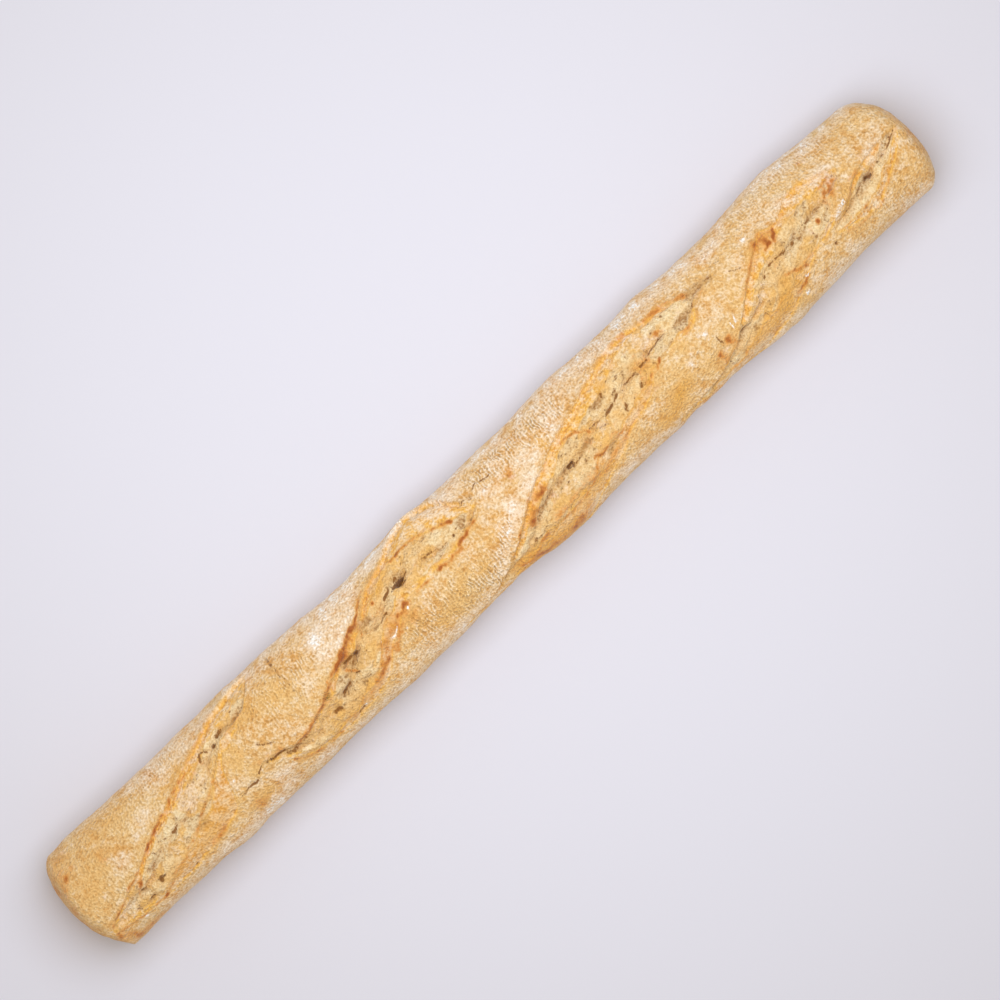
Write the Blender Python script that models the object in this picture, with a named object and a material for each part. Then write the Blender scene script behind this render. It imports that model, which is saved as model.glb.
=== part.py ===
"""Rustic baguette: one long, hand-shaped loaf on a flat sole, with blunt ends and five slanting scores.

The loaf lies along X, its sole rests on z = 0 and the origin is under its middle. All sizes are
in millimetres until the mesh is written, and MM turns them into metres. A point of the crust is
named by x, its place along the loaf, and by "around", the distance from the crown line measured
over the crust: positive towards +Y, the far side, and negative towards -Y, the near side.
"""

import math

import bmesh
import bpy
import numpy as np

MM = 0.001

# Overall form
LENGTH = 550.0
HALF_WIDTH = 29.3  # from the crown line to the widest point of each flank, before the swells
WIDEST_HEIGHT = 19.5  # height of the widest line above the sole
CROWN_RISE = 24.0  # from the widest line up to the crown
BELLY_DROP = 21.0  # the flank would reach this far below the widest line if no sole cut it off
BELLY_POWER = 2.6  # squareness of the flank under the widest line
RELIEF_ENDS = (48.0, 60.0)  # distance around at which the crust's relief starts to fade and is gone

# Swells and waists of the flanks as seen from above: x, height, spread
FAR_SWELLS = (
    (-250, 1.4, 14), (-182, 1.4, 14), (-75, -1.5, 18), (-30, 1.1, 11),
    (62, 1.3, 20), (122, 1.5, 10), (210, 2.6, 22),
)
NEAR_SWELLS = ((-188, 0.7, 10), (-78, 1.3, 14), (22, 2.7, 22), (107, -1.1, 6), (172, 1.9, 22))


class Cap:
    """Blunt end of the loaf: how far it rounds back from the tip, and how squarely, on each side."""

    def __init__(self, far, near, crown, sole):
        self.far, self.near, self.crown, self.sole = far, near, crown, sole

    def shape(self, sideways, upward):
        """Returns the depth and the squareness of the cap in the direction of each point."""
        side = np.where(sideways[:, None] > 0, self.far, self.near)
        vertical = np.where(upward[:, None] > 0, self.crown, self.sole)
        share = sideways[:, None] ** 2
        return (side * share + vertical * (1 - share)).T


# Each pair is the depth in millimetres and the power of the rounding, where 1 is a straight slant
LEFT_CAP = Cap(far=(12, 2.2), near=(12, 1.15), crown=(9, 2.5), sole=(4, 3))
RIGHT_CAP = Cap(far=(19, 2), near=(12.5, 2), crown=(9, 2.5), sole=(4, 3))

# Five scores. Each station is x, then the sideways place of the ear, the seam and the heel.
# The ear is the lifted edge of crust, the seam the deepest line where the crumb tore, and the
# heel the edge where the opening runs out into crust. Places beyond the flank wrap down round it.
SCORES = (
    (
        (-270, -17, -18, -19), (-258, -13, -16.5, -21.5), (-240, -5.5, -14, -23.5),
        (-220, 3.8, -5.5, -24.5), (-200, 11.3, -1.5, -21.5), (-182, 17.8, 7.5, -15),
        (-175, 20.3, 13, 2), (-165, 23.5, 15.5, 7), (-145, 27.5, 20, 17), (-136, 28.5, 28, 27.5),
    ),
    (
        (-172, -13, -13.2, -13.6), (-152, -9.5, -11.5, -13.5), (-140, -12, -15.5, -22),
        (-120, -8, -14.5, -25.5), (-100, 0.8, -8, -24), (-82, 8.8, 2, -18),
        (-68, 18, 5.5, -8), (-52, 23, 9.8, 0.5), (-30, 29, 8.5, 0.5), (-15, 27, 8, 2.5),
        (-7, 20, 8.5, 6), (1, 11.5, 11, 10.5),
    ),
    (
        (-46, -28.8, -29, -30), (-20, -26, -27, -33), (0, -17.5, -23.5, -37),
        (20, -4.5, -12.8, -38), (40, 4.5, -8.3, -31), (60, 11.5, -4, -24), (80, 18, 0.8, -16),
        (100, 22, 4.8, -8), (120, 19.5, 9, -0.5), (138, 17, 9, 3), (150, 15, 13, 11.5),
        (162, 13.6, 13.4, 13),
    ),
    (
        (104, -27.5, -29, -32), (132, -23.5, -26, -35), (150, -14.5, -17.8, -34),
        (165, -3, -13, -28), (180, 7.5, -3.5, -23.5), (195, 11, -2.8, -18),
        (212, 15.5, 1, -12), (228, 13, 5, 0), (238, 9, 6.5, 5.5),
    ),
    (
        (218, -10.5, -12, -15), (234, -3, -7, -18.5), (250, 3.5, -2.5, -14),
        (265, 6, 2.8, -4.5), (273, 6.5, 5.5, 4),
    ),
)
SEEN = 0.99  # true size of what lies on the crown, which looks larger from above than the flanks do
WRAP_FROM = 26.0  # sideways place from which a score's edge is carried on round the flank
WRAP_RATE = 1.7  # crust length for each millimetre sideways beyond that place

# Section of a score, across it
LIP_HEIGHT = 1.3
LIP_SPREAD = 4.0
EAR_WALL = 1.8
HEEL_STEP = 3.0
SINK = 1.1
FOOT_DEPTH = 1.3  # groove at the foot of the ear
FOOT_SPREAD = 2.0
SEAM_DEPTH = 2.6
SEAM_SPREAD = 1.8
ROLL_HEIGHT = 1.0  # the torn crumb swells a little on either side of the seam
FULL_WIDTH = 11.0  # a narrower opening is shallower too
SCORE_END = 5.0  # a score dies out over this length

# Lumps and hollows in the openings: x, sideways, length, width, degrees turned from X, height
LUMPS = (
    (227, -1.0, 15, 8.5, 45, 2.6),  # tongue of crust left between two scores
    (222, -9.5, 7, 4, 20, -1.6),
    (-52, 9.8, 9, 4.2, 4, -4.2),  # deep hole with lumps of crumb round it
    (-60, 14, 8, 6, 20, 1.1),
    (-40, 13, 10, 6, 0, 1.2),
    (-49, 4.5, 9, 5, 0, 1.0),
    (45, -7.5, 6, 3, 15, -2.6),
    (57, 1.8, 13, 3.4, -18, 1.3),  # flap across the third opening
    (40, -18.5, 34, 3.4, 6, 1.2),  # ridge of older crust along its heel
    (66, -11, 17, 3.2, 10, 1.1),
    (-73, -5.5, 14, 3.4, 20, 0.9),
    (188, 9.5, 8, 4, 10, 1.2),
    (-97, -1.2, 9, 3, 25, -1.4),
    (245, -4.6, 6, 3.4, 10, -1.6),
)

# Unevenness of a hand-shaped crust: wavelength, height
CRUST_WAVES = ((46.0, 1.0), (17.0, 0.4), (6.5, 0.16))
CRUMB_WAVES = ((9.0, 0.9), (4.2, 0.45))

# Mesh
ROWS = 300
COLUMNS = 84
CAP_ROWS = 12
CROWN_FINENESS = 0.6  # spacing of the columns at the crown, as a share of the mean spacing
TWIST = 0.43  # the columns climb round the loaf at the same slant as the scores
TRIANGLES = 9400

CRUST_COLOUR = (0.62, 0.36, 0.13, 1.0)
CRUST_ROUGHNESS = 0.72


def smoothstep(low, high, value):
    """Eased step from 0 at low to 1 at high."""
    t = np.clip((value - low) / (high - low), 0, 1)
    return t * t * (3 - 2 * t)


def curve_through(x, stations, values):
    """Smooth curve through the stations, read at x and held level beyond its ends."""
    slopes = np.gradient(values, stations)
    i = np.clip(np.searchsorted(stations, x) - 1, 0, len(stations) - 2)
    span = stations[i + 1] - stations[i]
    t = np.clip((x - stations[i]) / span, 0, 1)
    rest = 1 - t
    ends = values[i] * (1 + 2 * t) * rest**2 + values[i + 1] * (1 + 2 * rest) * t**2
    return ends + span * (slopes[i] * t * rest**2 - slopes[i + 1] * rest * t**2)


def soft_noise(points, wavelength, seed):
    """Smooth random field between about -1 and 1, one value for each point."""
    size = 64
    lattice = np.random.default_rng(seed).uniform(-1, 1, (size, size, size))
    cell = np.floor(points / wavelength)
    t = points / wavelength - cell
    t = t * t * (3 - 2 * t)
    cell = cell.astype(int)
    total = np.zeros(len(points))
    for corner in np.ndindex(2, 2, 2):
        weight = np.prod(np.where(corner, t, 1 - t), axis=1)
        i, j, k = ((cell + corner) % size).T
        total += weight * lattice[i, j, k]
    return total * 1.6


def waves(points, layers, seed):
    """Sum of noise layers, each given as a wavelength and a height."""
    return sum(
        height * soft_noise(points, wavelength, seed + n) for n, (wavelength, height) in enumerate(layers)
    )


def half_width(x, swells):
    """Distance from the crown line to the flank, as seen from above."""
    bumps = sum(height * np.exp(-(((x - place) / spread) ** 2)) for place, height, spread in swells)
    return HALF_WIDTH + bumps


class Section:
    """Cross-section of the loaf before its relief, walked round from the crown."""

    def __init__(self, points=720):
        angle = np.linspace(0, math.pi, points)
        power = np.where(angle < math.pi / 2, 2.0, BELLY_POWER)
        rise = np.where(angle < math.pi / 2, CROWN_RISE, BELLY_DROP)
        sideways = np.sin(angle) ** (2 / power)
        upward = np.sign(np.cos(angle)) * np.abs(np.cos(angle)) ** (2 / power) * rise
        self.height = np.maximum(WIDEST_HEIGHT + upward, 0)
        self.sideways = sideways
        steps = np.hypot(np.diff(sideways * HALF_WIDTH), np.diff(self.height))
        self.around = np.concatenate(([0], np.cumsum(steps)))
        self.girth = 2 * self.around[-1]
        self.widest = int(np.argmax(sideways))

    def place(self, around):
        """Returns how far out, as a share of the half width, and how high each point lies."""
        reach = np.abs(around)
        outward = np.sign(around) * np.interp(reach, self.around, self.sideways)
        return outward, np.interp(reach, self.around, self.height)

    def around_at(self, sideways):
        """Distance around of a place seen from above, carried on down the flank past the widest line."""
        upper = slice(0, self.widest + 1)
        reach = np.abs(sideways)
        seen = np.minimum(reach, WRAP_FROM) / HALF_WIDTH
        over = np.maximum(reach - WRAP_FROM, 0) * WRAP_RATE
        return np.sign(sideways) * (np.interp(seen, self.sideways[upper], self.around[upper]) + over)


def score_relief(x, around, stations, section, crumb):
    """Height of the crust over and beside one score."""
    table = np.array(stations, float) * SEEN
    ear, seam, heel = (
        curve_through(x, table[:, 0], section.around_at(table[:, column])) for column in (1, 2, 3)
    )
    opening = smoothstep(0, FULL_WIDTH, ear - heel)
    opening *= smoothstep(-SCORE_END, 0, x - table[0, 0]) * smoothstep(-SCORE_END, 0, table[-1, 0] - x)
    below_ear = ear - around
    above_heel = around - heel
    lip = LIP_HEIGHT * np.exp(-np.maximum(-below_ear, 0) / LIP_SPREAD)
    wall = smoothstep(0, EAR_WALL, below_ear)
    inside = wall * smoothstep(0, HEEL_STEP, above_heel)
    foot = FOOT_DEPTH * np.exp(-(((below_ear - EAR_WALL) / FOOT_SPREAD) ** 2))
    groove = SEAM_DEPTH * np.exp(-(((around - seam) / SEAM_SPREAD) ** 2))
    upper_roll = np.clip((around - seam) / np.maximum(ear - seam, 1), 0, 1)
    lower_roll = np.clip((seam - around) / np.maximum(seam - heel, 1), 0, 1)
    rolls = ROLL_HEIGHT * np.sin(math.pi * (upper_roll + lower_roll))
    floor = rolls + crumb - SINK - foot - groove
    return opening * (lip * (1 - wall) + inside * floor)


def lump_relief(x, sideways):
    """Height added by the separate lumps and hollows."""
    total = np.zeros(len(x))
    for place, side, length, width, degrees, height in LUMPS:
        turn = math.radians(degrees)
        ahead, beside = x - place * SEEN, sideways - side * SEEN
        along = ahead * math.cos(turn) + beside * math.sin(turn)
        across = beside * math.cos(turn) - ahead * math.sin(turn)
        total += height * np.exp(-((2 * along / length) ** 4) - (2 * across / width) ** 2)
    return total


def row_places(share):
    """Splits the rows, numbered 0 to 1 from the left tip, into the caps and the barrel.

    Returns how far along the barrel each row is, and how far out from the tip a cap's row lies,
    from 0 at the tip to 1 at its rim.
    """
    cap = CAP_ROWS / ROWS
    along = np.clip((share - cap) / (1 - 2 * cap), 0, 1)
    out = np.clip(np.minimum(share, 1 - share) / cap, 0, 1)
    return along, np.sin(out * math.pi / 2)


def base_surface(share, turn, section):
    """Places every vertex on the smooth loaf. Returns x, sideways, height and distance around."""
    along, out = row_places(share)
    middle = (along - 0.5) * LENGTH
    turned = turn + TWIST * middle / (CROWN_FINENESS * section.girth)
    turned -= np.round(turned)
    around = section.girth * (CROWN_FINENESS * turned + (1 - CROWN_FINENESS) * 4 * turned**3)
    outward, height = section.place(around)
    upward = (height - WIDEST_HEIGHT) / CROWN_RISE
    norm = np.maximum(np.hypot(outward, upward), 1e-6)
    left_depth, left_power = LEFT_CAP.shape(outward / norm, upward)
    right_depth, right_power = RIGHT_CAP.shape(outward / norm, upward)
    left_rim = -LENGTH / 2 + left_depth
    right_rim = LENGTH / 2 - right_depth
    on_left = along < 0.5
    power = np.where(on_left, left_power, right_power)
    depth = np.where(on_left, left_depth, right_depth)
    swell = depth * (1 - out**power) ** (1 / power)
    x = left_rim + along * (right_rim - left_rim) + np.where(on_left, -swell, swell)
    far, near = half_width(x, FAR_SWELLS), half_width(x, NEAR_SWELLS)
    sideways = out * outward * np.where(outward > 0, far, near)
    height = WIDEST_HEIGHT + out * (height - WIDEST_HEIGHT)
    return x, sideways, height, around * out


def build_loaf():
    """Makes the loaf's full mesh: a ball of rows and columns stretched over the form, then relief."""
    section = Section()
    body = bmesh.new()
    bmesh.ops.create_uvsphere(body, u_segments=COLUMNS, v_segments=ROWS, radius=1)
    ball = np.array([vertex.co[:] for vertex in body.verts], float)
    share = np.arccos(np.clip(ball[:, 2], -1, 1)) / math.pi
    turn = np.arctan2(ball[:, 1], ball[:, 0]) / (2 * math.pi)
    x, sideways, height, around = base_surface(share, turn, section)
    for vertex, place in zip(body.verts, np.column_stack((x, sideways, height)), strict=True):
        vertex.co = place
    bmesh.ops.recalc_face_normals(body, faces=body.faces)
    body.normal_update()
    points = np.column_stack((x, sideways, height))
    crumb = waves(points * (0.5, 1, 1), CRUMB_WAVES, seed=11)
    relief = waves(points, CRUST_WAVES, seed=3) + lump_relief(x, sideways)
    for stations in SCORES:
        relief += score_relief(x, around, stations, section, crumb)
    relief *= 1 - smoothstep(*RELIEF_ENDS, np.abs(around))
    normals = np.array([vertex.normal[:] for vertex in body.verts])
    points += normals * relief[:, None]
    low, high = points.min(axis=0), points.max(axis=0)
    points -= ((low[0] + high[0]) / 2, (low[1] + high[1]) / 2, low[2])
    for vertex, place in zip(body.verts, points * MM, strict=True):
        vertex.co = place
    mesh = bpy.data.meshes.new("loaf")
    body.to_mesh(mesh)
    body.free()
    return mesh


def crust_material():
    """Dull, floury golden-brown crust."""
    material = bpy.data.materials.new("crust")
    material.use_nodes = True
    shader = material.node_tree.nodes["Principled BSDF"]
    shader.inputs["Base Color"].default_value = CRUST_COLOUR
    shader.inputs["Roughness"].default_value = CRUST_ROUGHNESS
    shader.inputs["Metallic"].default_value = 0.0
    return material


def main():
    """Clears the scene and makes the loaf, thinned to a light solid that keeps its relief."""
    for thing in list(bpy.data.objects):
        bpy.data.objects.remove(thing)
    mesh = build_loaf()
    mesh.materials.append(crust_material())
    mesh.shade_smooth()
    loaf = bpy.data.objects.new("loaf", mesh)
    bpy.context.scene.collection.objects.link(loaf)
    full = sum(len(face.vertices) - 2 for face in mesh.polygons)
    thinning = loaf.modifiers.new("thinning", "DECIMATE")
    thinning.ratio = TRIANGLES / full


main()
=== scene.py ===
import logging
import math
from dataclasses import dataclass, field
from enum import Enum

import bpy
import bmesh
import numpy as np
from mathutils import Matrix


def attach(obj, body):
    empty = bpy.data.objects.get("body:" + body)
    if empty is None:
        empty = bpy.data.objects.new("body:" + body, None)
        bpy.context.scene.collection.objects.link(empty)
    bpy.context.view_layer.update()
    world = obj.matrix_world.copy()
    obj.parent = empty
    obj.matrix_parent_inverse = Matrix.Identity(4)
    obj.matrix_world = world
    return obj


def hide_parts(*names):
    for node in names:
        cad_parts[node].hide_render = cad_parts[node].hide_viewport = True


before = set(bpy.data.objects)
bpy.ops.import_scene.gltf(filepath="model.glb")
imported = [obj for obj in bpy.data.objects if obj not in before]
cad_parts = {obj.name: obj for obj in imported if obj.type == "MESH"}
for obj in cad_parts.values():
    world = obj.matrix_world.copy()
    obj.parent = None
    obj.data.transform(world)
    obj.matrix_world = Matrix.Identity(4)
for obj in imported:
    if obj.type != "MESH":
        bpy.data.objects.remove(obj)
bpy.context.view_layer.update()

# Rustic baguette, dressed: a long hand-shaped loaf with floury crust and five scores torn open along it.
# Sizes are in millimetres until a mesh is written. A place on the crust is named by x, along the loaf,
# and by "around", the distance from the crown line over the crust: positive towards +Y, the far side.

Array = np.ndarray
MM = 0.001
LATTICE = 64  # cells that a random field has each way before it repeats
log = logging.getLogger("baguette")


def smoothstep(low: float, high: float, value: Array) -> Array:
    """Eases from 0 to 1.

    Args:
        low: value at which the step starts.
        high: value at which it is complete.
        value: numbers to pass through the step.

    Returns:
        The eased numbers, each between 0 and 1.
    """
    t = np.clip((value - low) / (high - low), 0, 1)
    return t * t * (3 - 2 * t)


def ridge(distance: Array, spread: float) -> Array:
    """Bell-shaped ridge.

    Args:
        distance: how far each place is from the ridge's line.
        spread: distance at which the ridge is down to about a third.

    Returns:
        The ridge's height at each place, 1 on its line.
    """
    return np.exp(-((distance / spread) ** 2))


def curve_through(x: Array, stations: Array, values: Array) -> Array:
    """Reads a smooth curve through given stations, held level beyond its ends.

    Args:
        x: where the curve is read.
        stations: places of the stations, in rising order.
        values: the curve's value at each station.

    Returns:
        The curve's value at each x.
    """
    slopes = np.gradient(values, stations)
    i = np.clip(np.searchsorted(stations, x) - 1, 0, len(stations) - 2)
    span = stations[i + 1] - stations[i]
    t = np.clip((x - stations[i]) / span, 0, 1)
    rest = 1 - t
    ends = values[i] * (1 + 2 * t) * rest**2 + values[i + 1] * (1 + 2 * rest) * t**2
    return ends + span * (slopes[i] * t * rest**2 - slopes[i + 1] * rest * t**2)


def soft_noise(points: Array, wavelength: float, seed: int) -> Array:
    """Smooth random field between about -1 and 1.

    Args:
        points: one row of x, y and z for each point.
        wavelength: size of the field's lumps, in the points' own unit.
        seed: which field, so that each run gives the same one.

    Returns:
        One value for each point.
    """
    values = np.random.default_rng(seed).uniform(-1, 1, (LATTICE, LATTICE, LATTICE))
    cell = np.floor(points / wavelength)
    t = points / wavelength - cell
    t = t * t * (3 - 2 * t)
    cell = cell.astype(int)
    total = np.zeros(len(points))
    for corner in np.ndindex(2, 2, 2):
        weight = np.prod(np.where(corner, t, 1 - t), axis=1)
        i, j, k = ((cell + corner) % LATTICE).T
        total += weight * values[i, j, k]
    # Blending the corners flattens the field, so its swing is widened again
    return total * 1.6


def waves(points: Array, layers: tuple[tuple[float, float], ...], seed: int) -> Array:
    """Sums layers of noise.

    Args:
        points: one row of x, y and z for each point.
        layers: wavelength and height of each layer.
        seed: seed of the first layer; the others follow it.

    Returns:
        One height for each point.
    """
    return sum(height * soft_noise(points, size, seed + n) for n, (size, height) in enumerate(layers))


def torn_sheets(places: Array, size: float, seed: int) -> tuple[Array, Array]:
    """Splits a plane into uneven cells with wavering borders, like sheets of torn crumb.

    Args:
        places: one row for each point; its first two numbers are used.
        size: usual width of a cell.
        seed: which split, so that each run gives the same one.

    Returns:
        For each point, how much nearer it is to its own cell's middle than to the next one's, and
        its cell's own number between 0 and 1.
    """
    inset = 0.1
    middles = np.random.default_rng(seed).uniform(inset, 1 - inset, (LATTICE, LATTICE, 3))
    wavers = ((size * 0.6, 0.18), (size * 0.25, 0.1))
    bend = np.column_stack([waves(places, wavers, seed + n) for n in (1, 2)])
    flat = places[:, :2] + size * bend
    cell = np.floor(flat / size).astype(int)
    nearest = np.full(len(flat), np.inf)
    second = nearest.copy()
    tone = np.zeros(len(flat))
    for step in np.ndindex(3, 3):
        there = cell + step - 1
        middle = middles[there[:, 0] % LATTICE, there[:, 1] % LATTICE]
        gap = np.hypot(*((there + middle[:, :2]) * size - flat).T)
        second = np.where(gap < nearest, nearest, np.minimum(second, gap))
        tone = np.where(gap < nearest, middle[:, 2], tone)
        nearest = np.minimum(nearest, gap)
    return second - nearest, (tone - inset) / (1 - 2 * inset)


def linear(hex_colour: str) -> tuple[float, float, float, float]:
    """Turns an sRGB hex colour into the linear colour that a shader takes.

    Args:
        hex_colour: six hex digits, such as "E8C48C".

    Returns:
        Linear red, green, blue and an alpha of 1.
    """
    parts = [int(hex_colour[n:n + 2], 16) / 255 for n in (0, 2, 4)]
    red, green, blue = (c / 12.92 if c <= 0.04045 else ((c + 0.055) / 1.055) ** 2.4 for c in parts)
    return red, green, blue, 1.0


def per_metre(size: float) -> float:
    """Scale of a pattern whose features are this many millimetres across."""
    return 1 / (size * MM)


def add_node(
    tree: bpy.types.NodeTree, kind: str, links: dict | None = None, **settings: object
) -> bpy.types.Node:
    """Adds a node with its settings and links.

    Args:
        tree: node tree that takes the node.
        kind: the node's type, without its ShaderNode prefix.
        links: for an input's name or number, the output linked to it or its fixed value.
        settings: the node's own properties, set before its inputs.

    Returns:
        The new node.
    """
    node = tree.nodes.new("ShaderNode" + kind)
    for name, value in settings.items():
        setattr(node, name, value)
    for socket, source in (links or {}).items():
        if isinstance(source, bpy.types.NodeSocket):
            tree.links.new(source, node.inputs[socket])
        else:
            node.inputs[socket].default_value = source
    return node


class Mask(Enum):
    """What the crust is like at a place; each is kept on the mesh for the finish to read."""

    OPENED = "opened"  # smooth golden crust that formed as the score spread
    TORN = "torn"  # pale crumb that tore last
    BROWNED = "browned"  # painted shade, grey-beige, in pits, the seam's slit and the lowest crumb
    PIT_SHADE = "pit_shade"  # grey-beige pits in the crumb
    DARK = "pore_shade"  # painted shade inside open pores and cracks
    FLOUR = "flour"  # how thickly flour lies
    WRINKLED = "wrinkled"  # skin that shrank into fine ripples across the loaf
    BARE = "bare"  # clear gold, swept free of flour; below zero the flour lies thicker


class Trace(Enum):
    """Kinds of small trace on the crust: the mask each adds to and how many millimetres it lifts."""

    SCORCH = (Mask.BROWNED, 0.0)
    BLISTER = (Mask.BROWNED, 0.5)
    # Pores and cracks add painted shade, and pits add grey-beige painted shade; all three also sink the
    # relief
    PORE = (Mask.DARK, -1.6)
    CRACK = (Mask.DARK, -0.7)
    PIT = (Mask.PIT_SHADE, -0.7)
    DUST = (Mask.FLOUR, 0.12)
    CLOD = (Mask.FLOUR, 0.2)
    WRINKLE = (Mask.WRINKLED, 0.0)
    BARE = (Mask.BARE, 0.0)


@dataclass
class Skin:
    """The crust as arrays, one value for each vertex."""

    x: Array
    around: Array
    points: Array
    relief: Array
    masks: dict[Mask, Array] = field(default_factory=dict)

    def __post_init__(self) -> None:
        """Starts every mask empty."""
        for mask in Mask:
            self.masks[mask] = np.zeros(len(self.x))

    def add(self, mask: Mask, amount: Array) -> None:
        """Adds to a mask."""
        self.masks[mask] += amount

    def slanted(self, stretch: float) -> Array:
        """Places on the unrolled crust, turned along the scores.

        Args:
            stretch: how much longer than wide the lumps of a noise read there become.

        Returns:
            One row for each vertex: along the scores, across them, and 0.
        """
        slant = math.atan(Loaf.TWIST)
        along = self.x * math.cos(slant) + self.around * math.sin(slant)
        across = self.around * math.cos(slant) - self.x * math.sin(slant)
        return np.column_stack((along / stretch, across, np.zeros(len(along))))


@dataclass(frozen=True)
class Cap:
    """Blunt end of the loaf: depth and squareness of its rounding towards each side."""

    far: tuple[float, float]
    near: tuple[float, float]
    crown: tuple[float, float] = (9.0, 2.5)
    sole: tuple[float, float] = (4.0, 3.0)

    def shape(self, sideways: Array, upward: Array) -> Array:
        """Blends the cap's four sides.

        Args:
            sideways: sideways part of each point's direction from the middle.
            upward: height of each point over the widest line.

        Returns:
            A row of depths and a row of powers.
        """
        side = np.where(sideways[:, None] > 0, self.far, self.near)
        vertical = np.where(upward[:, None] > 0, self.crown, self.sole)
        share = np.abs(sideways[:, None]) ** 1.2
        return (side * share + vertical * (1 - share)).T


@dataclass
class Section:
    """Cross-section of the loaf before its relief, walked round from the crown."""

    half_width: float = 29.3
    widest_height: float = 19.5
    crown_rise: float = 24.0
    belly_drop: float = 21.0
    belly_power: float = 2.6
    # Further out than this, seen from above, a millimetre stands for this many down the steep flank
    wrap_from: float = 26.0
    wrap_rate: float = 1.7
    height: Array = field(init=False)
    sideways: Array = field(init=False)
    reach: Array = field(init=False)
    girth: float = field(init=False)
    widest: int = field(init=False)

    def __post_init__(self) -> None:
        """Walks from the crown down to the middle of the sole and measures the way."""
        angle = np.linspace(0, math.pi, 720)
        power = np.where(angle < math.pi / 2, 2.0, self.belly_power)
        rise = np.where(angle < math.pi / 2, self.crown_rise, self.belly_drop)
        upward = np.sign(np.cos(angle)) * np.abs(np.cos(angle)) ** (2 / power) * rise
        self.height = np.maximum(self.widest_height + upward, 0)
        self.sideways = np.sin(angle) ** (2 / power)
        steps = np.hypot(np.diff(self.sideways * self.half_width), np.diff(self.height))
        self.reach = np.concatenate(([0], np.cumsum(steps)))
        self.girth = 2 * self.reach[-1]
        self.widest = int(np.argmax(self.sideways))

    def place(self, around: Array) -> tuple[Array, Array]:
        """Finds points of the section.

        Args:
            around: distance of each point from the crown, over the crust.

        Returns:
            How far out each lies, as a share of the half width, and its height.
        """
        outward = np.sign(around) * np.interp(np.abs(around), self.reach, self.sideways)
        return outward, np.interp(np.abs(around), self.reach, self.height)

    def around_at(self, sideways: Array) -> Array:
        """Distance around of places seen from above.

        Args:
            sideways: distance from the crown line; past the flank it is carried on down the side.

        Returns:
            The distance over the crust.
        """
        upper = slice(0, self.widest + 1)
        seen = np.minimum(np.abs(sideways), self.wrap_from) / self.half_width
        over = np.maximum(np.abs(sideways) - self.wrap_from, 0) * self.wrap_rate
        return np.sign(sideways) * (np.interp(seen, self.sideways[upper], self.reach[upper]) + over)


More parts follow.
